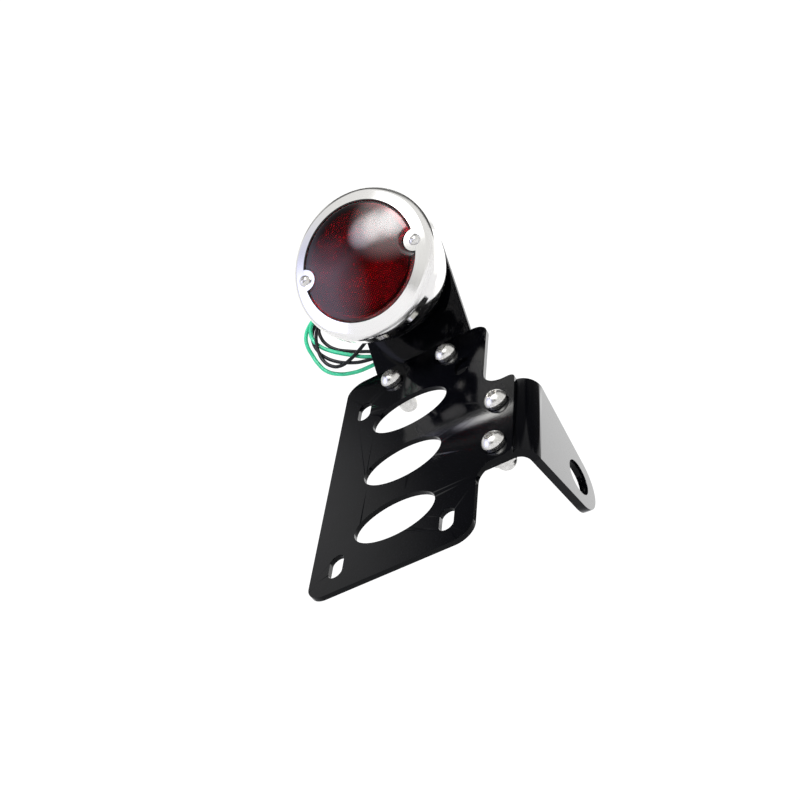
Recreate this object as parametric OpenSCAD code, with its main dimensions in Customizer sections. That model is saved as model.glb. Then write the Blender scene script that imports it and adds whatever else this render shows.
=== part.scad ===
// Side-mount tail light: a round lamp stands on a riser above a leaning licence plate bracket,
// and a bent axle bracket carries the whole assembly on one wheel axle.
// Millimetres. The origin is the centre of the axle hole. X runs to the axle side,
// Y runs forward (the lens faces -Y) and Z is up.

/* [Plate bracket] */
// Width of the plate bracket
plate_w = 103; // [95:1:115]
// Edge of the plate bracket above the middle of the slot pattern
plate_top = 111; // [106:1:116]
// Edge of the plate bracket below the middle of the slot pattern
plate_bottom = 94; // [88:1:110]
// Thickness of the plate bracket
plate_t = 3; // [2:0.5:4]
// Radius of the plate bracket's corners
plate_corner_r = 11.5; // [6:0.5:14]
// Angle that the plate bracket is laid back from upright
plate_lean = 40.5; // [35:0.5:45]
// Slot spacing across the bracket
slot_pitch_x = 69.85; // [66:0.05:74]
// Slot spacing along the bracket
slot_pitch_y = 146.05; // [140:0.05:150]
// Width of one slot
slot_w = 9; // [7:0.5:10]
// End to end length of one slot
slot_l = 18; // [12:0.5:20]
// Width of one oval window
window_w = 52; // [40:1:56]
// Height of one oval window
window_h = 33.2; // [24:0.2:36]
// Spacing of the oval windows
window_pitch = 51; // [46:1:53]
// Right edge of the side tab, from the middle of the plate bracket
tab_edge = 73; // [70:0.1:74]
// Half height of the side tab
tab_half = 38; // [36:0.5:40]

/* [Riser bracket] */
// Thickness of the riser bracket
riser_t = 3; // [2:0.5:4]
// Width of the riser bracket
riser_w = 70; // [64:1:80]
// Sideways place of the riser's middle on the plate bracket
riser_x = 3; // [0:0.5:6]
// Where the riser's flange starts on the plate bracket
riser_flange_start = 74.5; // [74:0.5:88]
// Height of the riser above its bend
riser_h = 77; // [72:1:90]
// Inner radius of the riser's bend
riser_bend_r = 5; // [3:0.5:8]
// Radius of the riser's top corners
riser_corner_r = 12; // [4:1:14]

/* [Axle bracket] */
// Thickness of the axle bracket
arm_t = 5; // [4:0.5:6]
// Outer face of the arm, from the middle of the plate bracket
arm_face = 82.5; // [82:0.5:90]
// Distance of the axle hole behind the plate bracket's face
arm_drop = 58.5; // [52:0.5:70]
// Upper edge of the axle bracket, above the axle hole
arm_high = 35.5; // [32:0.5:37]
// Lower edge of the axle bracket, below the axle hole
arm_low = 33.5; // [30:0.5:36]
// Radius of the arm's round end
arm_tip_r = 20; // [17:0.5:24]
// Inner radius of the arm's bend
arm_bend_r = 7; // [5:0.5:9]
// Diameter of the axle hole
axle_d = 22; // [16:0.1:24]
// Left edge of the axle bracket's flange, from the middle of the plate bracket
arm_flange_edge = 40; // [38:1:44]

/* [Lamp] */
// Height of the lamp's axis above the riser's bend
lamp_height = 52.1; // [51:0.1:56]
// Distance from the lamp's opening back to the riser
lamp_reach = 56.6; // [56.6:0.1:58]
// Outer radius of the bezel
bezel_r = 49.2; // [49.2:0.1:49.6]
// Radius of the lens opening
opening_r = 39.4; // [39.4:0.1:39.6]
// Depth of the bezel
bezel_depth = 13; // [12:0.5:14]
// Radius of the housing where it leaves the bezel
housing_r = 47.4; // [47:0.1:47.6]
// Depth from the lens opening to the back of the housing
housing_depth = 51.5; // [51.5:0.1:52]
// Wall of the housing
housing_wall = 1.2; // [1:0.1:1.5]
// Height of the lens dome in front of the opening
lens_rise = 5; // [3:0.5:6]
// Distance of the bezel screws from the lamp's axis
bezel_screw_r = 39; // [38.5:0.5:39.5]
// Angle of the bezel screws round the lamp
bezel_screw_turn = 7; // [0:1:12]
// Distance of the lamp studs from the lamp's axis
stud_x = 28; // [26:0.5:28]

/* [Fasteners] */
// Bracket screw thread diameter
screw_d = 8; // [8:0.5:8.5]
// Bracket screw head diameter
screw_head_d = 14; // [13:0.5:15]
// Bracket screw head height
screw_head_h = 4.4; // [4:0.1:5]
// Spacing of each pair of bracket screws
screw_pitch = 40; // [36:1:42]
// Width across the flats of the cap nuts
cap_nut_af = 13; // [13:0.5:14]
// Height of the riser's cap nuts
cap_nut_h = 16; // [15:0.5:17]
// Height of the axle bracket's low cap nuts
low_nut_h = 11; // [10:0.5:12]
// Lamp stud diameter
stud_d = 6; // [5:0.5:6]
// Width across the flats of the nuts on the lamp studs
stud_nut_af = 10; // [9:0.5:10]

/* [Bulb] */
// Radius of the bulb's metal base
bulb_base_r = 7.5; // [7:0.1:7.5]
// Travel of the sprung contact carrier
carrier_travel = 3; // [2:0.5:3]
// Turn that frees the bulb
bulb_turn = 20; // [15:1:25]

/* [Wires] */
// Diameter of one wire
wire_d = 2.4; // [2:0.1:2.4]
// Outer radius of the round ends of the wire hank
hank_r = 28; // [27:0.5:28]
// Width of the hank's band of wires
hank_band = 9.5; // [8:0.5:9.5]

/* [Hidden] */
$fn = 96;
eps = 0.01;

// Brackets
axle_x = arm_face - arm_t / 2;
bend_line = plate_top + riser_bend_r * tan(plate_lean / 2) + 0.45;
bend_y = sin(plate_lean) * bend_line - cos(plate_lean) * (arm_drop - plate_t);
bend_z = cos(plate_lean) * bend_line + sin(plate_lean) * (arm_drop - plate_t);
riser_screw_y = 95;
riser_screw_xs = [riser_x - screw_pitch / 2, riser_x + screw_pitch / 2];
tab_screw_x = 61.8;
tab_screw_ys = [-3.7 - screw_pitch / 2, -3.7 + screw_pitch / 2];
screw_clear_d = screw_d + 0.6;
head_washer_t = 1.6;
washer_t = 1.6;
lock_washer_t = 2;

// Lamp. Depths along its axis count from the lens opening backwards.
lamp_x = riser_x - axle_x;
lamp_y = bend_y - lamp_reach;
lamp_z = bend_z + lamp_height;
riser_front = lamp_reach;
riser_back = lamp_reach + riser_t;
housing_front = 6;
housing_arc_r = 66;
housing_arc_z = 11;
housing_rear_r = 4;
crease = [45.6, 2.3];
bezel_side_z = 7.5;
bezel_round_r = (pow(bezel_r - crease[0], 2) + pow(bezel_side_z - crease[1], 2)) / (2 * (bezel_r - crease[0]));
bezel_sheet = 1.3;
boss_r = 7;
lens_edge_r = opening_r - 0.7;
lens_edge_z = 1;
lens_sheet = 2.5;
lens_sphere_r = (pow(lens_edge_r, 2) + pow(lens_edge_z + lens_rise, 2)) / (2 * (lens_edge_z + lens_rise));
flange_z = 3.5;
reflector_z = 5.6;
bowl_mouth_r = 33.5;
bowl_neck_r = 10;
bowl_back = 30;

// Bulb and socket
glass_r = 11.5;
glass_z = 13;
base_z = 24;
base_back = 40;
carrier_z = 41;
carrier_t = 2.2;
socket_front = 28;
socket_back = housing_depth - housing_wall - 0.1;
socket_in_r = bulb_base_r + 0.4;
socket_out_r = socket_in_r + 0.8;
pin_zs = [33, 36];
pin_r = 1;
pin_tip = socket_out_r - 0.2;
spring_coil_r = 5.6;
spring_wire_r = 0.3;
spring_turns = 4;
spring_start = carrier_z + carrier_t + 0.1 + spring_wire_r;
spring_end = socket_back - 1.1 - spring_wire_r;

// Wires, in the lamp's own axes: x to the right, y down and z backwards
wire_r = wire_d / 2;
exit_z = socket_back - 0.9;
hank_left = [-53, 11];
hank_right = [-35, 11];
hank_z = 61;
hank_depth = 9;
green_route = [
    [0, -1.4, exit_z], [0, -1.4, 57], [0, -1.4, 62.5], [-1.5, -3, 69],
    [-6, -6, 72.8], [-14, -9.5, 73.6], [-27, -13, 72.4], [-40, -15, 71.2]
];
black_route = [
    [1.2, 0.7, exit_z], [1.2, 0.7, 57], [1.2, 0.7, 63], [0, -0.2, 70],
    [-5, -2.2, 74.6], [-14, -5.6, 75.6], [-27, -9.6, 73.6], [-40, -12.2, 71.2]
];
second_black_route = [
    [-1.2, 0.7, exit_z], [-1.2, 0.7, 57], [-1.2, 0.7, 62], [-3, 0, 68],
    [-8, -2, 71], [-16, -5, 72], [-28, -8, 71.5], [-40, -9.4, 71.2]
];

// ---- Frames -------------------------------------------------------------

// Plate frame: origin in the middle of the slots on the front face, y up the plate, z out of its face
module on_plate() {
    rotate([90 - plate_lean, 0, 0]) translate([-axle_x, 0, arm_drop]) children();
}

// Lamp frame: origin in the middle of the lens opening, x right, y down, z backwards
module at_lamp() {
    translate([lamp_x, lamp_y, lamp_z]) rotate([-90, 0, 0]) children();
}

module at_bezel_screws() {
    for (side = [0, 180])
        rotate([0, 0, side + bezel_screw_turn]) translate([bezel_screw_r, 0, 0]) children();
}

module at_studs() {
    for (side = [-1, 1]) translate([side * stud_x, 0, 0]) children();
}

module at_riser_screws() {
    for (x = riser_screw_xs) translate([x, riser_screw_y, 0]) children();
}

module at_tab_screws() {
    for (y = tab_screw_ys) translate([tab_screw_x, y, 0]) children();
}

// ---- Shared shapes ------------------------------------------------------

module round_rect(w, h, r) {
    square([w - 2 * r, h], center = true);
    square([w, h - 2 * r], center = true);
    for (x = [-1, 1], y = [-1, 1])
        translate([x * (w / 2 - r), y * (h / 2 - r)]) circle(r);
}

module slot_shape(w, l) {
    square([w, l - w], center = true);
    for (y = [-1, 1]) translate([0, y * (l - w) / 2]) circle(d = w);
}

module ellipse(w, h) {
    polygon([for (i = [0:71]) [w / 2 * cos(i * 5), h / 2 * sin(i * 5)]]);
}

module ring(r_out, r_in, h) {
    difference() {
        cylinder(r = r_out, h = h);
        translate([0, 0, -1]) cylinder(r = r_in, h = h + 2);
    }
}

module hex_prism(af, h) {
    rotate([0, 0, 30]) cylinder(r = af / 2 / cos(30), h = h, $fn = 6);
}

module hex_nut(af, hole_r, h) {
    difference() {
        hex_prism(af, h);
        translate([0, 0, -1]) cylinder(r = hole_r, h = h + 2);
    }
}

// Button head screw with a hexagon socket: the head rises on +z, the shank runs down -z
module button_screw(d, head_d, head_h, length) {
    drop = (pow(head_d / 2, 2) - pow(head_d * 0.23, 2) - pow(head_h, 2)) / (2 * head_h);
    difference() {
        rotate_extrude() intersection() {
            translate([0, -drop]) circle(norm([head_d / 2, drop]));
            square([head_d, head_h]);
        }
        translate([0, 0, head_h - 2.6]) hex_prism(5, 4);
    }
    translate([0, 0, -length]) cylinder(r = d / 2 - 0.05, h = length + eps);
}

// Spring washer with its split, standing on z = 0
module spring_washer(r_out, r_in, h) {
    difference() {
        ring(r_out, r_in, h);
        rotate([0, 0, 200]) translate([0, -0.4, -1]) cube([r_out + 1, 0.8, h + 2]);
    }
}

// Domed cap nut, its seat at z = 0 and its dome on -z
module cap_nut(af, height, hex_h, bore_r) {
    dome_r = af / 2 - 0.3;
    difference() {
        union() {
            translate([0, 0, -hex_h]) hex_prism(af, hex_h);
            translate([0, 0, dome_r - height]) {
                sphere(dome_r);
                cylinder(r = dome_r, h = height - dome_r - hex_h + 0.1);
            }
        }
        translate([0, 0, 3.2 - height]) cylinder(r = bore_r, h = height);
    }
}

// Edge of a sheet strip bent by an angle towards +y. The first leg lies along -x with its top face
// at y = 0, and the top faces of the two legs would meet at the origin.
module bent_edge(first, second, angle, r, t) {
    pull = r * tan(angle / 2);
    along = [cos(angle), sin(angle)];
    across = [-sin(angle), cos(angle)];
    steps = [0:16];
    inner = [for (i = steps) [r * sin(angle * i / 16) - pull, r - r * cos(angle * i / 16)]];
    outer = [for (i = steps) let (a = angle * (1 - i / 16)) [(r + t) * sin(a) - pull, r - (r + t) * cos(a)]];
    polygon(concat(
        [[-first, 0]], inner, [second * along, second * along - t * across], outer, [[-first, -t]]
    ));
}

// ---- Brackets -----------------------------------------------------------

// Side tab that carries the axle bracket, with a fillet above and below it
module tab_outline() {
    edge = plate_w / 2;
    top_fillet = 14;
    low_fillet = 12;
    corner = 4.5;
    difference() {
        union() {
            translate([edge - 1, -tab_half - low_fillet])
                square([low_fillet + 1, 2 * tab_half + low_fillet + top_fillet]);
            translate([edge, corner - tab_half]) square([tab_edge - edge, 2 * (tab_half - corner)]);
            translate([edge, -tab_half]) square([tab_edge - edge - corner, 2 * tab_half]);
            for (side = [-1, 1])
                translate([tab_edge - corner, side * (tab_half - corner)]) circle(corner);
        }
        translate([edge + top_fillet, tab_half + top_fillet]) circle(top_fillet);
        translate([edge + low_fillet, -tab_half - low_fillet]) circle(low_fillet);
    }
}

module plate_outline() {
    translate([0, (plate_top - plate_bottom) / 2])
        round_rect(plate_w, plate_top + plate_bottom, plate_corner_r);
    tab_outline();
}

module plate_bracket() {
    color([0.05, 0.05, 0.06]) on_plate() translate([0, 0, -plate_t]) linear_extrude(plate_t) difference() {
        plate_outline();
        for (x = [-1, 1], y = [-1, 1])
            translate([x * slot_pitch_x / 2, y * slot_pitch_y / 2]) slot_shape(slot_w, slot_l);
        for (row = [-1:1]) translate([0, row * window_pitch]) ellipse(window_w, window_h);
        at_riser_screws() circle(d = screw_clear_d);
        at_tab_screws() circle(d = screw_clear_d);
    }
}

// What is cut away outside a rounded corner of the riser: x sideways, y down from the corner
module riser_corner_cut() {
    difference() {
        translate([-riser_corner_r, -1]) square(riser_corner_r + 1);
        translate([-riser_corner_r, riser_corner_r]) circle(riser_corner_r);
    }
}

module riser_bracket() {
    color([0.05, 0.05, 0.06]) difference() {
        on_plate() translate([riser_x - riser_w / 2, bend_line, -plate_t])
            rotate([90, 0, 90]) linear_extrude(riser_w)
                bent_edge(bend_line - riser_flange_start, riser_h, plate_lean, riser_bend_r, riser_t);
        on_plate() translate([0, 0, -2 * plate_t - riser_t]) at_riser_screws()
            cylinder(d = screw_clear_d, h = 3 * plate_t);
        at_lamp() translate([0, 0, riser_front - 1]) {
            at_studs() cylinder(r = stud_d / 2 + 0.3, h = riser_t + 2);
            cylinder(r = 6.5, h = riser_t + 2);
            for (side = [0, 1]) mirror([side, 0, 0]) translate([riser_w / 2, lamp_height - riser_h, 0])
                linear_extrude(riser_t + 2) riser_corner_cut();
        }
    }
}

// Where a straight edge from the bend meets the arm's round end, a hair inside its circle
function arm_touch(half_w, start, side) =
    let (away = [half_w, start + arm_drop])
    let (turn = atan2(away[0], away[1]) + acos(arm_tip_r / norm(away)), reach = arm_tip_r - 0.02)
    reach * [side * sin(turn), cos(turn)] - [0, arm_drop];

// The arm seen from the side: x along the plate bracket, y out of its face
module arm_outline() {
    start = -plate_t - arm_t - arm_bend_r;
    low = arm_touch(arm_low, start, -1);
    high = arm_touch(arm_high, start, 1);
    polygon([[-arm_low, start], low, [0, -arm_drop], high, [arm_high, start]]);
    translate([0, -arm_drop]) circle(arm_tip_r);
}

module axle_bracket() {
    bend_x = arm_face - arm_t - arm_bend_r;
    bend_z0 = -plate_t - arm_t - arm_bend_r;
    corner = 6;
    color([0.06, 0.06, 0.07]) on_plate() difference() {
        union() {
            translate([arm_face - arm_t, 0, 0]) rotate([90, 0, 90]) linear_extrude(arm_t) arm_outline();
            translate([bend_x, arm_high, bend_z0]) rotate([90, 0, 0]) intersection() {
                ring(arm_bend_r + arm_t, arm_bend_r, arm_high + arm_low);
                translate([0, 0, -1]) cube([30, 30, arm_high + arm_low + 2]);
            }
            translate([arm_flange_edge + corner, -arm_low, -plate_t - arm_t])
                cube([bend_x - arm_flange_edge - corner, arm_high + arm_low, arm_t]);
            translate([arm_flange_edge, corner - arm_low, -plate_t - arm_t])
                cube([2 * corner, arm_high + arm_low - 2 * corner, arm_t]);
            for (y = [corner - arm_low, arm_high - corner])
                translate([arm_flange_edge + corner, y, -plate_t - arm_t]) cylinder(r = corner, h = arm_t);
        }
        translate([arm_face - arm_t - 1, 0, -arm_drop]) rotate([0, 90, 0]) cylinder(d = axle_d, h = arm_t + 2);
        translate([0, 0, -plate_t - arm_t - 1]) at_tab_screws() cylinder(d = screw_clear_d, h = arm_t + 2);
    }
}

// ---- Bracket fasteners --------------------------------------------------

module riser_screws() {
    color("silver") on_plate() at_riser_screws() translate([0, 0, head_washer_t])
        button_screw(screw_d, screw_head_d, screw_head_h, 20);
}

module riser_head_washers() {
    color("silver") on_plate() at_riser_screws() spring_washer(6.3, screw_d / 2 + 0.2, head_washer_t);
}

module riser_washers() {
    color("silver") on_plate() at_riser_screws() translate([0, 0, -plate_t - riser_t - washer_t])
        ring(8, screw_d / 2 + 0.2, washer_t);
}

module riser_lock_washers() {
    color("silver") on_plate() at_riser_screws()
        translate([0, 0, -plate_t - riser_t - washer_t - lock_washer_t])
            spring_washer(6.9, screw_d / 2 + 0.2, lock_washer_t);
}

module riser_cap_nuts() {
    color("silver") on_plate() at_riser_screws()
        translate([0, 0, -plate_t - riser_t - washer_t - lock_washer_t])
            cap_nut(cap_nut_af, cap_nut_h, 6.5, screw_d / 2 + 0.1);
}

module axle_bracket_screws() {
    color("silver") on_plate() at_tab_screws() translate([0, 0, head_washer_t])
        button_screw(screw_d, screw_head_d, screw_head_h, 16);
}

module axle_bracket_head_washers() {
    color("silver") on_plate() at_tab_screws() spring_washer(6.3, screw_d / 2 + 0.2, head_washer_t);
}

module axle_bracket_cap_nuts() {
    color("silver") on_plate() at_tab_screws() translate([0, 0, -plate_t - arm_t])
        cap_nut(cap_nut_af, low_nut_h, 4.7, screw_d / 2 + 0.1);
}

// ---- Lamp shell ---------------------------------------------------------

// Half section of the housing, filled, drawn smaller all round by inset
module housing_section(inset) {
    centre_r = housing_r - housing_arc_r;
    arc_r = housing_arc_r - inset;
    rear = housing_depth - inset;
    round_r = housing_rear_r - inset;
    round_z = rear - round_r;
    round_c = centre_r + sqrt(pow(arc_r - round_r, 2) - pow(round_z - housing_arc_z, 2));
    touch_z = housing_arc_z + (round_z - housing_arc_z) * arc_r / (arc_r - round_r);
    square([housing_r - inset, housing_arc_z]);
    intersection() {
        translate([centre_r, housing_arc_z]) circle(arc_r, $fn = 360);
        translate([0, housing_arc_z]) square([housing_r, touch_z - housing_arc_z]);
    }
    translate([round_c, round_z]) circle(round_r);
    square([round_c, rear]);
}

module screw_post(r, z0, z1) {
    at_bezel_screws() translate([0, 0, z0]) cylinder(r = r, h = z1 - z0);
}

module lamp_housing() {
    color([0.82, 0.82, 0.82]) at_lamp() difference() {
        union() {
            rotate_extrude($fn = 180) {
                difference() {
                    housing_section(0);
                    housing_section(housing_wall);
                    square([housing_r + 1, housing_front]);
                }
                translate([42, housing_front + 0.6]) square([housing_r - 42.5, 1]);
            }
            screw_post(4.4, 9, 26);
            at_bezel_screws() translate([0, -2.5, 9]) cube([housing_r - 0.9 - bezel_screw_r, 5, 10]);
        }
        screw_post(1.75, 5, 24);
        translate([0, 0, housing_depth - 6]) {
            at_studs() cylinder(r = stud_d / 2 + 0.2, h = 8);
            cylinder(r = 6.5, h = 8);
        }
    }
}

// Half section of the bezel's outside, or of its inside when inset is its sheet thickness
module bezel_section(inset) {
    centre = [bezel_r - bezel_round_r, bezel_side_z];
    slope = (crease - [opening_r, 0]) / norm(crease - [opening_r, 0]);
    shift = inset * [-slope[1], slope[0]];
    lip = shift[1] + (-shift[0]) * slope[1] / slope[0];
    polygon([[0, lip], [opening_r, lip], crease + shift, [crease[0] - inset, bezel_side_z], [0, bezel_side_z]]);
    intersection() {
        translate(centre) circle(bezel_round_r - inset);
        square([bezel_r, bezel_side_z + 2]);
    }
    translate([0, bezel_side_z]) square([bezel_r - inset, bezel_depth - bezel_side_z + (inset > 0 ? 1 : 0)]);
}

module bezel() {
    color([0.9, 0.9, 0.9]) at_lamp() difference() {
        union() {
            rotate_extrude($fn = 180) difference() {
                bezel_section(0);
                bezel_section(bezel_sheet);
                translate([0, -1]) square([opening_r, bezel_depth + 2]);
            }
            intersection() {
                screw_post(boss_r, 0, 2.2);
                translate([0, 0, -1]) cylinder(r = opening_r + 0.2, h = 5);
            }
            screw_post(3.9, 0, 2.2);
            screw_post(3.4, 2, 8.9);
        }
        screw_post(1.85, -1, 10);
    }
}

module bezel_screws() {
    color("silver") at_lamp() at_bezel_screws() {
        difference() {
            rotate_extrude() intersection() {
                translate([0, 2.3]) circle(4.2);
                translate([0, -1.9]) square([3.5, 1.9]);
            }
            for (turn = [0, 90]) rotate([0, 0, turn + 25]) translate([-1.9, -0.4, -2]) cube([3.8, 0.8, 1.3]);
        }
        translate([0, 0, -0.01]) cylinder(r = 1.65, h = 15);
    }
}

// ---- Lens, gasket and reflector -----------------------------------------

module lens() {
    centre_z = lens_sphere_r - lens_rise;
    color([0.6, 0.02, 0.05, 0.8]) at_lamp() difference() {
        rotate_extrude($fn = 180) {
            intersection() {
                translate([0, centre_z]) difference() {
                    circle(lens_sphere_r, $fn = 360);
                    circle(lens_sphere_r - lens_sheet, $fn = 360);
                }
                translate([0, -lens_rise - 1]) square([lens_edge_r, flange_z + lens_rise + 2.9]);
            }
            translate([lens_edge_r - 3, lens_edge_z + 0.6]) square([3, flange_z + 1.4 - lens_edge_z]);
            translate([lens_edge_r - 6, flange_z]) square([10, 2]);
        }
        screw_post(boss_r + 0.7, -8, 10);
    }
}

module lens_gasket() {
    lip_in = opening_r - 0.6;
    lip_out = opening_r - 0.1;
    color([0.02, 0.02, 0.02]) at_lamp() {
        difference() {
            rotate_extrude() polygon([
                [lip_in, 0.4], [lip_out, 0.4], [lip_out, 2.9], [42.6, 2.9], [42.6, flange_z], [lip_in, flange_z]
            ]);
            screw_post(boss_r + 0.1, -1, 6);
        }
        intersection() {
            difference() {
                screw_post(boss_r + 0.6, 0.4, flange_z);
                screw_post(boss_r + 0.1, 0, 5);
            }
            cylinder(r = lip_out, h = 5);
        }
    }
}

// Radius of the reflector's bowl at one depth
function bowl_r(z) =
    bowl_neck_r + (bowl_mouth_r - bowl_neck_r) * sqrt((bowl_back - z) / (bowl_back - reflector_z));

module reflector() {
    depths = [for (i = [0:16]) reflector_z + (bowl_back - reflector_z) * (1 - pow(1 - i / 16, 2))];
    sheet = 0.9;
    rim_r = 45.6;
    color([0.85, 0.85, 0.86]) at_lamp() difference() {
        rotate_extrude() polygon(concat(
            [[rim_r, reflector_z]],
            [for (z = depths) [bowl_r(z), z]],
            [for (i = [16:-1:0]) [bowl_r(depths[i]) + 0.5, depths[i] + sheet]],
            [[rim_r, reflector_z + sheet]]
        ));
        screw_post(4.2, 0, 8);
    }
}

// ---- Bulb and socket ----------------------------------------------------

// Wedge of a round wall: from angle a0 to angle a1 and from depth z0 to z1
module wall_window(a0, a1, z0, z1) {
    rotate([0, 0, a0]) translate([0, 0, z0]) rotate_extrude(angle = a1 - a0)
        translate([socket_in_r - 0.6, 0]) square([2, z1 - z0]);
}

// The pins stand across the bulb, one nearer its front than the other
module at_pins() {
    for (i = [0, 1]) rotate([0, 0, i * 180]) translate([0, 0, pin_zs[i]]) children();
}

module bulb_socket() {
    gap = pin_r + 0.4;
    half = asin((pin_r + 0.45) / socket_in_r);
    color([0.75, 0.76, 0.75]) at_lamp() difference() {
        union() {
            translate([0, 0, socket_front]) ring(socket_out_r, socket_in_r, socket_back - socket_front);
            translate([0, 0, socket_back - 1]) ring(14, 3, 1);
        }
        for (i = [0, 1]) rotate([0, 0, i * 180]) {
            wall_window(-bulb_turn - half, half, pin_zs[i] - gap, pin_zs[i] + carrier_travel + gap);
            wall_window(-bulb_turn - half, half - bulb_turn, socket_front - 1, pin_zs[i]);
        }
    }
}

// Spring wire: rings of points along a helix, joined into one closed skin
module coil(r, wire, z0, z1, turns) {
    steps = turns * 20;
    sides = 8;
    function place(i) = [r * cos(i * 18), r * sin(i * 18), z0 + (z1 - z0) * i / steps];
    rings = [for (i = [0:steps], k = [0:sides - 1])
        place(i) + wire * [cos(k * 45) * cos(i * 18), cos(k * 45) * sin(i * 18), sin(k * 45)]];
    skin(rings, steps + 1, sides);
}

// Closed skin over rings of points, given one ring after another
module skin(points, count, sides) {
    walls = [for (i = [0:count - 2], k = [0:sides - 1])
        [i * sides + k, i * sides + (k + 1) % sides,
         (i + 1) * sides + (k + 1) % sides, (i + 1) * sides + k]];
    first = [for (k = [sides - 1:-1:0]) k];
    last = [for (k = [0:sides - 1]) (count - 1) * sides + k];
    polyhedron(points, concat([first], walls, [last]), convexity = 6);
}

module socket_spring() {
    color([0.8, 0.8, 0.78]) at_lamp()
        coil(spring_coil_r, spring_wire_r, spring_start, spring_end, spring_turns);
}

module at_contacts() {
    for (side = [-1, 1]) translate([side * 2.8, 0, 0]) children();
}

module contact_carrier() {
    color([0.35, 0.2, 0.12]) at_lamp() difference() {
        translate([0, 0, carrier_z]) cylinder(r = bulb_base_r - 0.1, h = carrier_t);
        at_contacts() translate([0, 0, carrier_z - 1]) cylinder(r = 1.25, h = carrier_t + 2);
    }
}

module carrier_contacts() {
    color([0.8, 0.62, 0.25]) at_lamp() at_contacts() translate([0, 0, carrier_z - 0.1]) {
        cylinder(r = 1.2, h = carrier_t + 0.9);
    }
}

module bulb_base() {
    color([0.78, 0.7, 0.5]) at_lamp() {
        translate([0, 0, base_z]) cylinder(r = bulb_base_r, h = base_back - base_z);
    }
}

module bulb_pins() {
    color([0.78, 0.7, 0.5]) at_lamp() at_pins()
        translate([bulb_base_r, 0, 0]) rotate([0, 90, 0]) cylinder(r = pin_r, h = pin_tip - bulb_base_r);
}

module bulb_contacts() {
    color([0.6, 0.6, 0.62]) at_lamp() at_contacts()
        translate([0, 0, base_back]) cylinder(r = 1.3, h = 0.8);
}

module bulb_glass() {
    neck_r = 6.6;
    wall = 0.7;
    color([0.9, 0.95, 1, 0.35]) at_lamp() rotate_extrude() difference() {
        intersection() {
            union() {
                translate([0, glass_z]) circle(glass_r);
                translate([0, glass_z]) square([neck_r, base_z - glass_z]);
            }
            square([glass_r + 1, base_z]);
        }
        translate([0, glass_z]) circle(glass_r - wall);
        translate([-1, glass_z]) square([neck_r - wall + 1, base_z]);
    }
}

module bulb_filaments() {
    color([0.6, 0.6, 0.6]) at_lamp() for (side = [-1, 1]) {
        for (end = [-1, 1]) translate([end * 3, side * 1.6, 12]) cylinder(r = 0.25, h = base_z - 12);
        translate([-3.4, side * 1.6 - 0.3, 11.4]) cube([6.8, 0.6, 0.6]);
    }
}

// ---- Lamp studs and grommets --------------------------------------------

module lamp_studs() {
    color("silver") at_lamp() at_studs() {
        translate([0, 0, housing_depth - housing_wall - 1.5]) cylinder(r = 3.4, h = 1.4);
        translate([0, 0, housing_depth - housing_wall - 1]) cylinder(r = stud_d / 2 - 0.05, h = 19.5);
    }
}

module spacer_nuts() {
    color("silver") at_lamp() at_studs() translate([0, 0, housing_depth])
        hex_nut(stud_nut_af, stud_d / 2 + 0.1, riser_front - housing_depth);
}

module stud_washers() {
    color("silver") at_lamp() at_studs() translate([0, 0, riser_back])
        ring(6, stud_d / 2 + 0.2, 1.2);
}

module stud_nuts() {
    color("silver") at_lamp() at_studs() translate([0, 0, riser_back + 1.2])
        hex_nut(stud_nut_af, stud_d / 2 + 0.1, 5);
}

module housing_grommet() {
    color([0.03, 0.03, 0.03]) at_lamp() difference() {
        union() {
            translate([0, 0, housing_depth - housing_wall]) cylinder(r = 6.4, h = housing_wall + 0.5);
            translate([0, 0, housing_depth]) cylinder(r = 8.5, h = 1.5);
        }
        translate([0, 0, housing_depth - 5]) cylinder(r = 2.8, h = 10);
    }
}

module riser_grommet() {
    color([0.03, 0.03, 0.03]) at_lamp() difference() {
        union() {
            translate([0, 0, riser_front - 1.5]) cylinder(r = 8.5, h = 1.5);
            translate([0, 0, riser_front - 1]) cylinder(r = 6.4, h = riser_t + 2);
            translate([0, 0, riser_back]) cylinder(r = 8.5, h = 1.8);
        }
        translate([0, 0, riser_front - 5]) cylinder(r = 2.8, h = 12);
    }
}

// ---- Wires --------------------------------------------------------------

// Point on the smooth curve through four route points, t from 0 to 1 between the middle two
function between(a, b, c, d, t) =
    0.5 * (2 * b + (c - a) * t + (2 * a - 5 * b + 4 * c - d) * t * t + (3 * b - a - 3 * c + d) * t * t * t);

function along(route, parts) = concat(
    [for (i = [0:len(route) - 2], k = [0:parts - 1])
        between(route[max(i - 1, 0)], route[i], route[i + 1], route[min(i + 2, len(route) - 1)], k / parts)],
    [route[len(route) - 1]]
);

module wire(route) {
    path = along(route, 3);
    sides = 8;
    last = len(path) - 1;
    points = [for (i = [0:last])
        let (
            way = path[min(i + 1, last)] - path[max(i - 1, 0)],
            side = cross([0, 1, 0], way) / norm(cross([0, 1, 0], way)),
            up = cross(way, side) / norm(way)
        )
        for (k = [0:sides - 1]) path[i] + wire_r * (cos(k * 45) * side + sin(k * 45) * up)];
    at_lamp() skin(points, last + 1, sides);
}

module green_wire() {
    color([0.2, 0.8, 0.55]) wire(green_route);
}

module black_wire() {
    color([0.04, 0.04, 0.04]) wire(black_route);
}

module second_black_wire() {
    color([0.04, 0.04, 0.04]) wire(second_black_route);
}

module hank_outline(r) {
    translate(hank_left) circle(r);
    translate(hank_right) circle(r);
    translate([hank_left[0], hank_left[1] - r]) square([hank_right[0] - hank_left[0], 2 * r]);
}

module wire_hank() {
    color([0.1, 0.4, 0.3]) at_lamp() translate([0, 0, hank_z]) linear_extrude(hank_depth) difference() {
        hank_outline(hank_r);
        hank_outline(hank_r - hank_band);
    }
}

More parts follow.
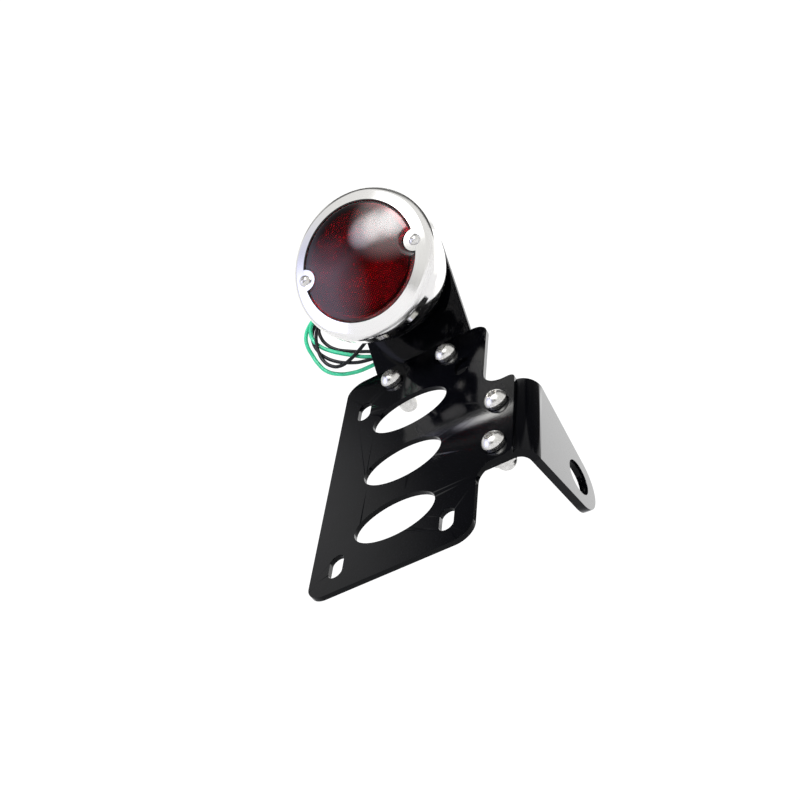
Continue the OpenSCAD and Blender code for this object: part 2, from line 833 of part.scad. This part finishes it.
module cable_tie() {
    middle = [hank_right[0] + hank_r - hank_band / 2, hank_right[1], hank_z + hank_depth / 2];
    color([0.04, 0.04, 0.04]) at_lamp() translate(middle) difference() {
        union() {
            cube([hank_band + 2.6, 3.6, hank_depth + 2.4], center = true);
            translate([hank_band / 2 + 2, 0, 1]) cube([3.6, 5, 5], center = true);
        }
        cube([hank_band + 0.6, 5.2, hank_depth + 0.4], center = true);
    }
}

// ---- Parts --------------------------------------------------------------

plate_bracket();
riser_bracket();
axle_bracket();
riser_screws();
riser_head_washers();
riser_washers();
riser_lock_washers();
riser_cap_nuts();
axle_bracket_screws();
axle_bracket_head_washers();
axle_bracket_cap_nuts();
lamp_housing();
bezel();
bezel_screws();
lens();
lens_gasket();
reflector();
bulb_socket();
socket_spring();
contact_carrier();
carrier_contacts();
bulb_base();
bulb_pins();
bulb_contacts();
bulb_glass();
bulb_filaments();
lamp_studs();
spacer_nuts();
stud_washers();
stud_nuts();
housing_grommet();
riser_grommet();
green_wire();
black_wire();
second_black_wire();
wire_hank();
cable_tie();
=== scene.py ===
"""Looks for a side-mount tail light: a chromed round lamp over a black licence plate bracket.

Metres, in the CAD model's own frame: +X to the axle arm, -Y where the lens faces, +Z up.
"""
import math

import bmesh
import bpy
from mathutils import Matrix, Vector


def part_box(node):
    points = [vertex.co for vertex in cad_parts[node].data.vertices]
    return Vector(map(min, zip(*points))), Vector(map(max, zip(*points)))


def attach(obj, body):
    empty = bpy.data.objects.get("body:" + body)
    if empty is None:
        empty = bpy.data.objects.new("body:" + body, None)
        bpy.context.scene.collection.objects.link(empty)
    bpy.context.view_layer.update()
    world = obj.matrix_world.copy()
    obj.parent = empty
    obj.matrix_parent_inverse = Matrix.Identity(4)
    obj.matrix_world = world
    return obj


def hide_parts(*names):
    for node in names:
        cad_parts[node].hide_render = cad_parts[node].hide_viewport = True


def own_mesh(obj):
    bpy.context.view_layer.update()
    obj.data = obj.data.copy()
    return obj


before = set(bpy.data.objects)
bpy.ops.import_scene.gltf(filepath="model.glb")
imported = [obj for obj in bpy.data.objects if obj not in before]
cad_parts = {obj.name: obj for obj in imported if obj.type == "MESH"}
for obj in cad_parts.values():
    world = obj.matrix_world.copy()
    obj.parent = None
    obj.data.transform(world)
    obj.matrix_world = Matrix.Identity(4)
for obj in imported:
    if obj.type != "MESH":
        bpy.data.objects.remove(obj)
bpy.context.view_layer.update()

MM = 0.001
BEZEL_LOW, BEZEL_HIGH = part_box("bezel")
# Where the lamp's axis meets the front of its bezel, in metres. The lamp's sizes are in millimetres.
LAMP = Vector(((BEZEL_LOW.x + BEZEL_HIGH.x) / 2, BEZEL_LOW.y, (BEZEL_LOW.z + BEZEL_HIGH.z) / 2))
OPENING_R = 39.4
# The two bezel screws: how far from the lamp's axis, and how far turned from level
SCREW_R = 39.0
SCREW_TURN = math.radians(7)
BOSS_R = 7.0


def lamp_point(x, y, z):
    """A point given in the lamp's own axes in millimetres: x right, y down, z back from the opening."""
    return LAMP + Vector((x, z, -y)) * MM


# ---- Camera ---------------------------------------------------------------

FOCAL_LENGTH = 65.36
SENSOR_WIDTH = 36
CAMERA_PLACE = (0.2348, -0.7730, -0.2100)
CAMERA_TURN = (110.512, 16.286, 28.697)


def make_camera():
    data = bpy.data.cameras.new("camera")
    data.lens = FOCAL_LENGTH
    data.sensor_width = SENSOR_WIDTH
    data.clip_start = 0.01
    data.clip_end = 50
    camera = bpy.data.objects.new("camera", data)
    camera.location = CAMERA_PLACE
    camera.rotation_euler = [math.radians(angle) for angle in CAMERA_TURN]
    bpy.context.scene.collection.objects.link(camera)
    bpy.context.scene.camera = camera


make_camera()


# ---- Node helpers ---------------------------------------------------------

class Paint:
    """A node material under construction, with its shader at hand."""

    def __init__(self, name, **sockets):
        self.material = bpy.data.materials.new(name)
        self.material.use_nodes = True
        self.tree = self.material.node_tree
        self.shader = self.tree.nodes["Principled BSDF"]
        self.coords = self.tree.nodes.new("ShaderNodeTexCoord").outputs["Object"]
        for socket, value in sockets.items():
            self.set(socket.replace("_", " "), value)

    def set(self, socket, value):
        if hasattr(value, "is_linked"):
            self.tree.links.new(value, self.shader.inputs[socket])
        else:
            self.shader.inputs[socket].default_value = value

    def node(self, kind, inputs=(), **settings):
        made = self.tree.nodes.new("ShaderNode" + kind)
        for name, value in settings.items():
            setattr(made, name, value)
        for key, value in dict(inputs).items():
            if hasattr(value, "is_linked"):
                self.tree.links.new(value, made.inputs[key])
            else:
                made.inputs[key].default_value = value
        return made

    def noise(self, scale, detail=3.0, roughness=0.5, vector=None):
        return self.node("TexNoise", {
            "Vector": vector or self.coords, "Scale": scale, "Detail": detail, "Roughness": roughness,
        }).outputs["Fac"]

    def ramp(self, factor, dark, light, start=0.3, end=0.7):
        made = self.node("ValToRGB", {"Fac": factor})
        for element, place, colour in zip(made.color_ramp.elements, (start, end), (dark, light)):
            element.position = place
            element.color = (*colour, 1)
        return made.outputs["Color"]

    def level(self, factor, low, high, start=0.3, end=0.7):
        return self.node("MapRange", {
            "Value": factor, "From Min": start, "From Max": end, "To Min": low, "To Max": high,
        }).outputs["Result"]

    def mottle(self, scale, detail, dark, light):
        """A base colour that drifts between two colours."""
        self.set("Base Color", self.ramp(self.noise(scale, detail), dark, light))

    def roughen(self, scale, detail, low, high):
        """A roughness that drifts between two values."""
        self.set("Roughness", self.level(self.noise(scale, detail), low, high))

    def math(self, operation, a, b=0.0):
        return self.node("Math", {0: a, 1: b}, operation=operation).outputs[0]

    def bump(self, height, depth, strength=1.0, under=None):
        inputs = {"Height": height, "Distance": depth, "Strength": strength}
        if under:
            inputs["Normal"] = under
        normal = self.node("Bump", inputs).outputs["Normal"]
        self.set("Normal", normal)
        return normal

    def axes(self):
        """X, Y and Z of the point that is painted."""
        return self.node("SeparateXYZ", {"Vector": self.coords}).outputs

    def lamp_radius(self):
        """Distance from the lamp's axis."""
        offset = self.node("VectorMath", {0: self.coords, 1: (LAMP.x, 0, LAMP.z)}, operation="SUBTRACT")
        split = self.node("SeparateXYZ", {"Vector": offset.outputs[0]})
        flat = self.node("CombineXYZ", {"X": split.outputs["X"], "Z": split.outputs["Z"]})
        return self.node("VectorMath", {0: flat.outputs[0]}, operation="LENGTH").outputs["Value"]


# ---- Materials ------------------------------------------------------------

LATHE_ACROSS = 9000.0
LATHE_ALONG = 60.0
# The bezel's outer roll, which is duller: its radii, its depths behind the front, and its added roughness
ROLL_RADII = (46.5, 48.5)
ROLL_DEPTHS = (3.5, 6.5)
ROLL_HAZE = 0.3
# The shading slope of the bezel's bosses, which falls this far between this radius and the opening's edge
BOSS_FALL = 3.4
BOSS_FALL_START = 30
STUD_PITCH = 1.0 * MM
CLEAR_RUBY = ((0.40, 0.002, 0.014), (0.52, 0.004, 0.022))
# Ruby of the prisms, from the painted shade in their hollows to the painted glint on their peaks
PRISM_RUBY_PAINTED_SHADE_AND_GLINT = ((0.20, 0.0005, 0.005), (0.80, 0.004, 0.034))
PRISM_PITCH = 2.3 * MM
PRISM_DEPTH = 0.4 * MM


def powder_coat():
    paint = Paint("powder_coat", Specular_IOR_Level=0.12)
    paint.mottle(14, 4, (0.0008, 0.0009, 0.0014), (0.0018, 0.0019, 0.0028))
    paint.roughen(90, 5, 0.04, 0.09)
    orange_peel = paint.bump(paint.noise(650, 2), 0.00003, 0.25)
    paint.bump(paint.noise(5200, 2), 0.00001, 0.3, orange_peel)
    return paint.material


def polished_shell(name, ring=False):
    """Polished on a lathe. The ring's bosses slope like the ring round them, and its outer roll is duller."""
    paint = Paint(name, Metallic=1.0)
    radius = paint.lamp_radius()
    axes = paint.axes()
    lathe = paint.node("CombineXYZ", {
        "X": paint.math("MULTIPLY", radius, LATHE_ACROSS),
        "Y": paint.math("MULTIPLY", axes["Y"], LATHE_ACROSS),
        "Z": paint.math("MULTIPLY", axes["Z"], LATHE_ALONG),
    }).outputs[0]
    lines = paint.noise(1, 4, 0.6, lathe)
    paint.set("Base Color", paint.ramp(lines, (0.80, 0.79, 0.76), (0.93, 0.92, 0.90), 0.25, 0.75))
    haze = paint.math("ADD", paint.level(paint.noise(40, 4), 0.08, 0.12), paint.level(lines, 0.0, 0.04))
    slope = None
    if ring:
        outer = paint.level(radius, 0.0, ROLL_HAZE, *(edge * MM for edge in ROLL_RADII))
        front = paint.level(axes["Y"], 1.0, 0.0, *(LAMP.y + depth * MM for depth in ROLL_DEPTHS))
        haze = paint.math("ADD", haze, paint.math("MULTIPLY", outer, front))
        fall = paint.level(radius, BOSS_FALL * MM, 0.0, BOSS_FALL_START * MM, OPENING_R * MM)
        slope = paint.bump(fall, 1.0)
    paint.set("Roughness", haze)
    paint.bump(lines, 0.000004, 0.25, slope)
    return paint.material


def stainless():
    paint = Paint("stainless", Metallic=1.0)
    paint.mottle(300, 4, (0.60, 0.59, 0.56), (0.78, 0.77, 0.74))
    paint.roughen(900, 4, 0.20, 0.34)
    paint.bump(paint.noise(2500, 3), 0.00001, 0.3)
    return paint.material


def stud_thread():
    paint = Paint("stud_thread", Metallic=1.0)
    turns = paint.math("SINE", paint.math("MULTIPLY", paint.axes()["Y"], 2 * math.pi / STUD_PITCH))
    # Painted shade: the colour darkens in the thread's grooves and is the steel's own tone on its crests.
    paint.set("Base Color", paint.ramp(turns, (0.22, 0.21, 0.20), (0.68, 0.67, 0.64), 0.0, 0.8))
    paint.roughen(900, 4, 0.2, 0.35)
    paint.bump(turns, 0.0004, 0.8)
    return paint.material


def ruby_glass(name, patterned, dark=1.0):
    """Ruby glass, with small crossed prisms where it is patterned. There the prisms' peaks get a painted
    glint and the hollows between them painted shade. A dark value below 1 darkens the ruby as painted shade.
    """
    paint = Paint(name, Transmission_Weight=1.0, IOR=1.5)
    low, high = ([part * dark for part in colour] for colour in (PRISM_RUBY_PAINTED_SHADE_AND_GLINT if patterned else CLEAR_RUBY))
    shade = paint.noise(60, 2)
    if patterned:
        axes = paint.axes()
        pitch = 2 * math.pi / PRISM_PITCH
        rising = paint.math("ADD", axes["Z"], axes["X"])
        falling = paint.math("SUBTRACT", axes["Z"], axes["X"])
        prisms = paint.math("MULTIPLY", paint.math("SINE", paint.math("MULTIPLY", rising, pitch)),
                            paint.math("SINE", paint.math("MULTIPLY", falling, pitch)))
        paint.bump(prisms, PRISM_DEPTH, 1.0)
        # Painted glints and shade: the prisms' peaks are coloured lighter and their hollows darker.
        prism_painted_glints = paint.level(prisms, 0.15, 1.0, -0.6, 0.2)
        shade = paint.math("MULTIPLY", prism_painted_glints, paint.level(shade, 0.8, 1.0))
    paint.set("Base Color", paint.ramp(shade, low, high))
    paint.roughen(500, 3, 0.01, 0.05)
    return paint.material


def rubber():
    paint = Paint("black_rubber", Specular_IOR_Level=0.3)
    paint.mottle(400, 4, (0.006, 0.006, 0.006), (0.02, 0.02, 0.02))
    paint.roughen(700, 3, 0.45, 0.7)
    paint.bump(paint.noise(3000, 3), 0.00003, 0.4)
    return paint.material


def metal(name, dark, light, rough_low, rough_high):
    paint = Paint(name, Metallic=1.0)
    paint.mottle(350, 4, dark, light)
    paint.roughen(900, 4, rough_low, rough_high)
    paint.bump(paint.noise(2500, 3), 0.00001, 0.3)
    return paint.material


def fibre_board():
    paint = Paint("fibre_board")
    paint.mottle(900, 5, (0.13, 0.06, 0.03), (0.28, 0.15, 0.08))
    paint.roughen(500, 3, 0.5, 0.75)
    paint.bump(paint.noise(1800, 4), 0.00005, 0.5)
    return paint.material


def clear_glass():
    paint = Paint("clear_glass", Transmission_Weight=1.0, IOR=1.45)
    paint.mottle(50, 2, (0.93, 0.95, 0.96), (0.98, 0.99, 1.0))
    paint.roughen(300, 2, 0.0, 0.02)
    return paint.material


def insulation(name, dark, light, specular):
    paint = Paint(name, Specular_IOR_Level=specular)
    paint.mottle(160, 4, dark, light)
    paint.roughen(500, 3, 0.28, 0.42)
    paint.bump(paint.noise(1500, 3), 0.00003, 0.3)
    return paint.material


BRASS = metal("brass", (0.55, 0.38, 0.14), (0.74, 0.55, 0.24), 0.18, 0.35)
SOCKET = metal("socket_steel", (0.5, 0.5, 0.47), (0.66, 0.66, 0.62), 0.25, 0.45)
BRIGHT = metal("reflector_metal", (0.80, 0.80, 0.80), (0.90, 0.90, 0.90), 0.08, 0.2)
TUNGSTEN = metal("tungsten", (0.25, 0.25, 0.26), (0.42, 0.42, 0.44), 0.35, 0.55)
STEEL = stainless()
COAT = powder_coat()
SHELL = polished_shell("polished_shell")
RUBBER = rubber()
NYLON = insulation("black_nylon", (0.006, 0.006, 0.006), (0.018, 0.018, 0.018), 0.5)
GREEN = insulation("green_insulation", (0.015, 0.42, 0.20), (0.03, 0.56, 0.29), 0.5)
BLACK = insulation("black_insulation", (0.0015, 0.002, 0.003), (0.004, 0.005, 0.006), 0.25)
COPPER = metal("copper", (0.55, 0.24, 0.13), (0.78, 0.40, 0.24), 0.2, 0.4)

NODE_MATERIALS = {
    COAT: ["plate_bracket", "riser_bracket", "axle_bracket"],
    STEEL: ["riser_screws", "riser_head_washers", "riser_washers", "riser_lock_washers", "riser_cap_nuts",
            "axle_bracket_screws", "axle_bracket_head_washers", "axle_bracket_cap_nuts", "bezel_screws",
            "spacer_nuts", "stud_washers", "stud_nuts"],
    stud_thread(): ["lamp_studs"],
    SHELL: ["lamp_housing"],
    polished_shell("polished_ring", ring=True): ["bezel"],
    RUBBER: ["lens_gasket", "housing_grommet", "riser_grommet"],
    BRIGHT: ["reflector"],
    SOCKET: ["bulb_socket", "socket_spring", "bulb_contacts"],
    fibre_board(): ["contact_carrier"],
    BRASS: ["carrier_contacts", "bulb_base", "bulb_pins"],
    clear_glass(): ["bulb_glass"],
    TUNGSTEN: ["bulb_filaments"],
    NYLON: ["cable_tie"],
}


def dress_cad():
    for material, nodes in NODE_MATERIALS.items():
        for name in nodes:
            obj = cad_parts[name]
            obj.data.materials.clear()
            obj.data.materials.append(material)
            for face in obj.data.polygons:
                face.material_index = 0


dress_cad()


# ---- Wires ----------------------------------------------------------------

# Each wire leaves the riser's grommet, turns left and joins the hank. The points are part.scad's.
EXIT_DEPTH = 49.3
ROUTES = {
    "green_wire": [
        (0, -1.4, EXIT_DEPTH), (0, -1.4, 57), (0, -1.4, 62.5), (-1.5, -3, 69),
        (-6, -6, 72.8), (-14, -9.5, 73.6), (-27, -13, 72.4), (-40, -15, 71.2),
    ],
    "black_wire": [
        (1.2, 0.7, EXIT_DEPTH), (1.2, 0.7, 57), (1.2, 0.7, 63), (0, -0.2, 70),
        (-5, -2.2, 74.6), (-14, -5.6, 75.6), (-27, -9.6, 73.6), (-40, -12.2, 71.2),
    ],
    "second_black_wire": [
        (-1.2, 0.7, EXIT_DEPTH), (-1.2, 0.7, 57), (-1.2, 0.7, 62), (-3, 0, 68),
        (-8, -2, 71), (-16, -5, 72), (-28, -8, 71.5), (-40, -9.4, 71.2),
    ],
}


# The middle of the tied side of the turns, and the angle between its points in degrees
TIED_X, TIED_UP = -35, -11
TIED_STEP = 25


def tied(radius, depth, start=-75, end=75):
    """The right side of one turn, in the tied bundle, from its low end to its high end."""
    points = []
    for angle in range(start, end + 1, TIED_STEP):
        turn = math.radians(angle)
        points.append((TIED_X + radius * math.cos(turn), TIED_UP + radius * math.sin(turn), depth))
    return points


def loose(depth, *points):
    """The left side of one turn, which shows past the lamp."""
    return [(x, up, depth) for x, up in points]


# The turns of each wire in the hank: x, height from the lamp's axis and depth behind its opening,
# in millimetres
TURNS = {
    "green_wire": (
        loose(66.2, (-52, 14.2), (-64, 12.6), (-74.5, 8.2), (-80.3, 2), (-81.6, -5))
        + loose(67.6, (-80.6, -12.5), (-78.2, -20), (-74, -27.3), (-66.5, -33), (-57, -36.6), (-46, -38.2))
        + tied(26.6, 67.6)
        + loose(65, (-52, 13), (-63, 11.8), (-71.5, 8.4), (-75.8, 2.4), (-75.6, -4), (-72, -10.5),
                (-66.5, -16), (-59, -21.6), (-50, -27.4), (-42, -32))
        + tied(25.6, 64.6, end=-25)
    ),
    "black_wire": (
        loose(69.4, (-50, 10), (-60, 9.6), (-67.5, 7.6), (-71.4, 3), (-71.6, -3), (-69, -9.4), (-63.6, -15.4),
              (-54.6, -21), (-43, -26.6))
        + tied(22.6, 63.6)
        + loose(66.8, (-50, 12.4), (-61, 11), (-70, 7.4), (-75.6, 1.6), (-77, -5), (-75.4, -12))
        + loose(64.4, (-70.8, -19), (-64, -25.4), (-55, -30.6), (-44, -34.4))
        + tied(24.0, 66.9, end=-25)
    ),
    "second_black_wire": (
        loose(62.4, (-50, 8), (-59, 7), (-66, 4), (-70.6, -1.5), (-72.6, -8), (-73, -15), (-71.4, -22),
              (-67.2, -27.8), (-61, -30.8), (-52, -29.6), (-42, -25.4), (-33, -20.4), (-25, -15.4),
              (-18, -10.4))
    ),
}


def smooth_spline(name, points, diameter):
    data = bpy.data.curves.new(name, "CURVE")
    data.dimensions = "3D"
    data.bevel_depth = diameter / 2
    data.bevel_resolution = 5
    data.use_fill_caps = True
    data.resolution_u = 6
    spline = data.splines.new("BEZIER")
    spline.bezier_points.add(len(points) - 1)
    for knot, place in zip(spline.bezier_points, points):
        knot.co = place
        knot.handle_left_type = knot.handle_right_type = "AUTO"
    obj = bpy.data.objects.new(name, data)
    bpy.context.scene.collection.objects.link(obj)
    return obj


TIP_LENGTH = 6 * MM
TIP_DIAMETER = 1.3 * MM


def make_wire(name, material, diameter):
    points = [lamp_point(*place) for place in ROUTES[name]]
    points += [lamp_point(x, -up, depth) for x, up, depth in TURNS[name]]
    wire = smooth_spline(name + "_run", points, diameter * MM)
    wire.data.materials.append(material)
    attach(wire, "frame")
    tip_end = points[-1] + (points[-1] - points[-2]).normalized() * TIP_LENGTH
    tip = smooth_spline(name + "_tip", [points[-1], tip_end], TIP_DIAMETER)
    tip.data.materials.append(COPPER)
    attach(tip, "frame")
    covered = [name] + (["wire_hank"] if name == "green_wire" else [])
    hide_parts(*covered)


make_wire("green_wire", GREEN, 2.7)
make_wire("black_wire", BLACK, 2.4)
make_wire("second_black_wire", BLACK, 2.4)


# ---- Lens -----------------------------------------------------------------

DOME_RISE = 5.0
# How far the lens rolls over at its edge, and over what width. Beside a notch the roll is wider.
ROLL_DROP = 0.5
ROLL_WIDTH = 1.7
NOTCH_ROLL = 0.6
DOME_EDGE_DEPTH = 0.5
LENS_EDGE_R = OPENING_R - 0.5
LENS_SHEET = 2.5
LENS_RIM_DEPTH = 5.5
LENS_BACK_SCALE = 0.95
# Rows of faces round the lens's back that get the rim's painted shade, the ruby darkened where it sits under
# the bezel
PAINTED_SHADE_ROWS = 12
# How much of the ruby's colour the rim keeps: painted shade under the bezel
RIM_PAINTED_SHADE = 0.12
NOTCH_R = BOSS_R + 0.7
DOME_R = (LENS_EDGE_R ** 2 + (DOME_EDGE_DEPTH + DOME_RISE) ** 2) / (2 * (DOME_EDGE_DEPTH + DOME_RISE))


def dome_depth(radius, sheet=0.0):
    return DOME_R - DOME_RISE - math.sqrt((DOME_R - sheet) ** 2 - radius ** 2)


def lens_reach(angle):
    """Radius of the lens's edge at an angle from x towards y, with a notch at each bezel screw."""
    reach = LENS_EDGE_R
    for side in (0, math.pi):
        away = math.remainder(angle - SCREW_TURN - side, 2 * math.pi)
        gap = NOTCH_R ** 2 - (SCREW_R * math.sin(away)) ** 2
        if abs(away) < 1 and gap > 0:
            reach = min(reach, SCREW_R * math.cos(away) - math.sqrt(gap))
    return reach


def lens_front(x, y):
    """Depth of the lens's outside, which rolls over towards its edge and its two notches."""
    radius = math.hypot(x, y)
    edge = LENS_EDGE_R - radius
    for side in (-1, 1):
        screw = (side * SCREW_R * math.cos(SCREW_TURN), side * SCREW_R * math.sin(SCREW_TURN))
        edge = min(edge, (math.hypot(x - screw[0], y - screw[1]) - NOTCH_R) * NOTCH_ROLL)
    roll = max(0.0, 1 - max(0.0, edge) / ROLL_WIDTH)
    return dome_depth(radius) + ROLL_DROP * roll * roll


def make_lens():
    spokes, rings = 360, 44
    scales = [1 - (1 - ring / rings) ** 2 for ring in range(1, rings + 1)]
    mesh = bmesh.new()

    def row(scale, depth_of):
        made = []
        for spoke in range(spokes):
            angle = 2 * math.pi * spoke / spokes
            radius = lens_reach(angle) * scale
            x, y = radius * math.cos(angle), radius * math.sin(angle)
            made.append(mesh.verts.new(lamp_point(x, y, depth_of(x, y))))
        return made

    def behind(x, y):
        return dome_depth(math.hypot(x, y), LENS_SHEET)

    front = [row(scale, lens_front) for scale in scales]
    rim = [row(1, lambda x, y: LENS_RIM_DEPTH)]
    back = [row(scale * LENS_BACK_SCALE, behind) for scale in reversed(scales)]
    chain = front + rim + back
    for number, (first, second) in enumerate(zip(chain, chain[1:])):
        for k in range(spokes):
            face = mesh.faces.new((first[k], first[(k + 1) % spokes], second[(k + 1) % spokes], second[k]))
            # The edge wall and the back's outer rows get the darkened ruby, painted shade under the bezel;
            # the rest of the back gets the prisms.
            if number > len(front) + PAINTED_SHADE_ROWS:
                face.material_index = 1
            elif number >= len(front) - 1:
                face.material_index = 2
            face.smooth = True
    middles = ((front[0], -DOME_RISE, 0, False), (back[-1], LENS_SHEET - DOME_RISE, 1, True))
    for ring, depth, index, flip in middles:
        centre = mesh.verts.new(lamp_point(0, 0, depth))
        for k in range(spokes):
            corners = (centre, ring[(k + 1) % spokes], ring[k])
            face = mesh.faces.new(tuple(reversed(corners)) if flip else corners)
            face.material_index = index
            face.smooth = True
    bmesh.ops.recalc_face_normals(mesh, faces=mesh.faces)
    data = bpy.data.meshes.new("lens_dome")
    mesh.to_mesh(data)
    mesh.free()
    lens = bpy.data.objects.new("lens_dome", data)
    bpy.context.scene.collection.objects.link(lens)
    data.materials.append(ruby_glass("ruby_outside", False))
    data.materials.append(ruby_glass("ruby_prisms", True))
    # Ruby darkened as painted shade, for the rim under the bezel
    data.materials.append(ruby_glass("ruby_rim_painted_shade", False, RIM_PAINTED_SHADE))
    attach(lens, "frame")
    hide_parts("lens")


make_lens()


# ---- Socket spring --------------------------------------------------------

SPRING_TURNS = 4
POINTS_PER_TURN = 20
SPRING_WIRE_R = 0.3 * MM


def make_spring():
    """A still coil of wire in the place of the socket spring."""
    low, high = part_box("socket_spring")
    coil_r = (high.x - low.x) / 2 - SPRING_WIRE_R
    start, end = low.y + SPRING_WIRE_R, high.y - SPRING_WIRE_R
    points = []
    steps = POINTS_PER_TURN * SPRING_TURNS
    for step in range(steps + 1):
        turn = 2 * math.pi * SPRING_TURNS * step / steps
        along = start + (end - start) * step / steps
        points.append((LAMP.x + coil_r * math.cos(turn), along, LAMP.z + coil_r * math.sin(turn)))
    path = smooth_spline("spring_path", points, 2 * SPRING_WIRE_R)
    mesh = bpy.data.meshes.new_from_object(path.evaluated_get(bpy.context.evaluated_depsgraph_get()))
    bpy.data.objects.remove(path)
    spring = bpy.data.objects.new("socket_spring_coil", mesh)
    bpy.context.scene.collection.objects.link(spring)
    mesh.materials.clear()
    mesh.materials.append(SOCKET)
    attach(spring, "frame")
    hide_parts("socket_spring")
    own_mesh(spring)


make_spring()


# ---- Edges of the bent sheet ----------------------------------------------

EDGE_WIDTHS = {"plate_bracket": 0.35, "riser_bracket": 0.35, "axle_bracket": 0.5}
WELD_GAP = 0.00001
SHARPEST_SMOOTH = math.radians(50)


def round_edges():
    for name, width in EDGE_WIDTHS.items():
        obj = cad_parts[name]
        weld = obj.modifiers.new("weld", "WELD")
        weld.merge_threshold = WELD_GAP
        bevel = obj.modifiers.new("edge", "BEVEL")
        bevel.width = width * MM
        bevel.segments = 3
        bevel.limit_method = "ANGLE"
        bevel.angle_limit = SHARPEST_SMOOTH
        bevel.harden_normals = True


round_edges()


# ---- Stage and light ------------------------------------------------------

FLOOR_R = 6
FLOOR_Z = -0.55
# The tent's strength in front of the part and behind it
TENT_FRONT, TENT_BACK = 0.86, 1.25
BACKDROP = 1.1
# Dark cards and soft lamps: direction, outer and inner angle in degrees, and strength inside
CARDS = (
    ((-0.37, 0.15, 0.915), 23, 12, 0.10),
    ((0.15, 0.15, 0.97), 25, 16, 0.12),
    ((0.49, 0.57, 0.66), 27, 21, 0.06),
    ((-0.22, -0.965, 0.13), 29, 16, 0.05),
    ((-0.41, -0.63, 0.66), 19, 9, 0.15),
)
LAMPS = (
    ((0.27, 0.93, 0.24), 15, 5, 2.2),
    ((0.09, -0.80, 0.60), 12, 0, 10.0),
    ((-0.05, -0.785, 0.615), 12, 0, 7.0),
    ((-0.19, -0.765, 0.61), 11, 0, 7.0),
    ((0.05, -0.78, 0.62), 25, 8, 3.0),
    ((-0.74, -0.62, 0.22), 34, 8, 1.4),
    ((-0.50, 0.13, 0.86), 9, 2, 0.8),
)
COOL_SIDE = ((-0.75, -0.58, 0.32), 42, 18)
COOL_TINT = (0.78, 0.80, 1.06, 1)


def make_floor():
    bpy.ops.mesh.primitive_circle_add(vertices=96, radius=FLOOR_R, fill_type="NGON", location=(0, 0, FLOOR_Z))
    floor = bpy.context.object
    floor.name = "floor"
    paint = Paint("floor_pale")
    paint.mottle(3, 3, (0.80, 0.80, 0.80), (0.84, 0.84, 0.84))
    paint.roughen(6, 2, 0.7, 0.8)
    floor.data.materials.append(paint.material)


def make_world():
    """A white tent round the part, with dark cards and soft lamps in it. The camera sees a plain backdrop."""
    world = bpy.data.worlds.new("studio")
    bpy.context.scene.world = world
    world.use_nodes = True
    tree = world.node_tree
    way = tree.nodes.new("ShaderNodeTexCoord").outputs["Generated"]

    def node(kind, operation, *values):
        made = tree.nodes.new("ShaderNode" + kind)
        made.operation = operation
        for number, value in enumerate(values):
            if hasattr(value, "is_linked"):
                tree.links.new(value, made.inputs[number])
            else:
                made.inputs[number].default_value = value
        return made

    def fade(value, start, end, low, high):
        made = tree.nodes.new("ShaderNodeMapRange")
        made.interpolation_type = "SMOOTHSTEP"
        tree.links.new(value, made.inputs["Value"])
        for socket, number in (("From Min", start), ("From Max", end), ("To Min", low), ("To Max", high)):
            made.inputs[socket].default_value = number
        return made.outputs["Result"]

    def lobe(direction, outer, inner, low, high):
        """Runs from low outside the outer angle to high inside the inner angle, in degrees."""
        toward = Vector(direction).normalized()
        dot = node("VectorMath", "DOT_PRODUCT", way, tuple(toward)).outputs["Value"]
        return fade(dot, math.cos(math.radians(outer)), math.cos(math.radians(inner)), low, high)

    split = tree.nodes.new("ShaderNodeSeparateXYZ")
    tree.links.new(way, split.inputs[0])
    strength = fade(split.outputs["Y"], 0.05, 0.75, TENT_FRONT, TENT_BACK)
    for direction, outer, inner, inside in CARDS:
        card = lobe(direction, outer, inner, 1.0, inside)
        strength = node("Math", "MULTIPLY", strength, card).outputs[0]
    for direction, outer, inner, inside in LAMPS:
        lamp = lobe(direction, outer, inner, 0.0, inside)
        strength = node("Math", "ADD", strength, lamp).outputs[0]
    backdrop = tree.nodes.new("ShaderNodeLightPath").outputs["Is Camera Ray"]
    lit = node("Math", "SUBTRACT", 1.0, backdrop).outputs[0]
    strength = node("Math", "MULTIPLY", strength, lit).outputs[0]
    strength = node("Math", "MULTIPLY_ADD", backdrop, BACKDROP, strength).outputs[0]
    tree.links.new(strength, tree.nodes["Background"].inputs["Strength"])
    tint = tree.nodes.new("ShaderNodeMix")
    tint.data_type = "RGBA"
    cool = lobe(*COOL_SIDE, 0.0, 1.0)
    tree.links.new(node("Math", "MULTIPLY", cool, lit).outputs[0], tint.inputs["Factor"])
    tint.inputs["A"].default_value = (1, 1, 1, 1)
    tint.inputs["B"].default_value = COOL_TINT
    tree.links.new(tint.outputs["Result"], tree.nodes["Background"].inputs["Color"])


make_floor()
make_world()
bpy.context.scene.view_settings.view_transform = "Standard"
